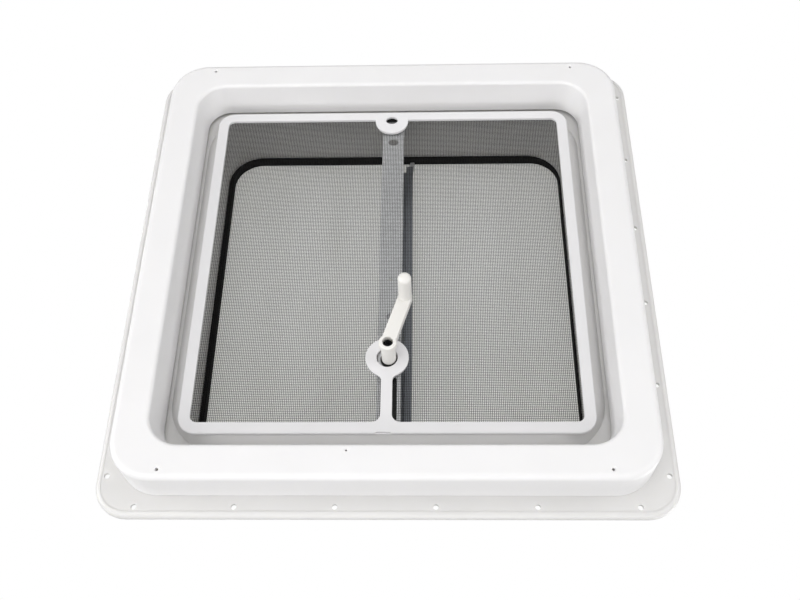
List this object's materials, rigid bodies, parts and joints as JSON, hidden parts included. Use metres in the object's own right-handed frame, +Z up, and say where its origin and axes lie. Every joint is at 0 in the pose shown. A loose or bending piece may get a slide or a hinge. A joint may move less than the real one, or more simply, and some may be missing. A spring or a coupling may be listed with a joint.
{
  "type": "crank roof vent",
  "caption": "Square crank-up roof vent for a caravan: flanged base with curb, hinged domed lid, worm-drive lift arm, insect screen and ceiling garnish.",
  "frame": {"origin": "centre of the roof opening on the underside of the roof flange", "axes": "+Z up out of the roof, +Y towards the hinge side, -Z into the room"},
  "size_m": [0.457, 0.457, 0.143],
  "materials": {
    "white_plastic": "satin moulded polypropylene",
    "screen_plastic": "satin moulded polypropylene",
    "lid_plastic": "satin moulded polypropylene",
    "insect_mesh": "coated glass-fibre yarn",
    "galvanised_steel": "galvanised",
    "dark_steel": "phosphated",
    "black_steel": "black oxide",
    "zinc_steel": "zinc plated",
    "black_plastic": "moulded",
    "nylon": "natural nylon",
    "ivory_plastic": "satin moulded",
    "foam_rubber": "closed-cell foam",
    "rivet_aluminium": "plain"
  },
  "bodies": {
    "base": {"roof_base": "white_plastic", "ceiling_garnish": "white_plastic", "screen_frame": "screen_plastic", "screen_mesh": "insect_mesh", "cross_bar": "galvanised_steel", "bar_rivets": "rivet_aluminium", "gearbox_housing": "black_plastic", "gearbox_cover": "black_plastic", "cover_screws": "zinc_steel", "foot_screws": "zinc_steel", "lower_shaft_bush": "black_plastic", "upper_shaft_bush": "nylon", "axle_bushes": "nylon", "hinge_bracket_left": "galvanised_steel", "hinge_bracket_right": "galvanised_steel", "hinge_pin_left": "zinc_steel", "hinge_pin_right": "zinc_steel", "bracket_rivets": "rivet_aluminium"},
    "lid_body": {"lid": "lid_plastic", "lid_gasket": "foam_rubber", "lid_track": "dark_steel", "track_rivets": "rivet_aluminium", "hinge_leaf_left": "galvanised_steel", "hinge_leaf_right": "galvanised_steel", "leaf_rivets": "rivet_aluminium"},
    "arm": {"worm_wheel": "nylon", "arm_axle": "zinc_steel", "lift_arm": "dark_steel", "roller_pin": "zinc_steel"},
    "roller": {"arm_roller": "nylon"},
    "crank": {"worm_shaft": "zinc_steel", "crank_handle": "ivory_plastic", "crank_screw": "black_steel"}
  },
  "joints": [
    {"name": "lid_hinge", "type": "hinge", "parent": "base", "child": "lid_body", "pos_m": [0, 0.188, 0.055], "axis": [-1, 0, 0], "range_deg": [0, 55]},
    {"name": "arm_pivot", "type": "hinge", "parent": "base", "child": "arm", "pos_m": [0.0015, 0.0825, 0.008], "axis": [-1, 0, 0], "range_deg": [0, 110]},
    {"name": "roller_spin", "type": "hinge", "parent": "arm", "child": "roller", "pos_m": [0.01485, -0.023, 0.055], "axis": [1, 0, 0], "continuous": true},
    {"name": "crank_turn", "type": "hinge", "parent": "base", "child": "crank", "pos_m": [0.0015, 0.099, -0.03], "axis": [0, 0, 1], "range_deg": [0, 2640]}
  ],
  "couplings": [
    {"joint": "arm_pivot", "follows": "lid_hinge", "ratio": 2},
    {"joint": "crank_turn", "follows": "lid_hinge", "ratio": 48}
  ]
}
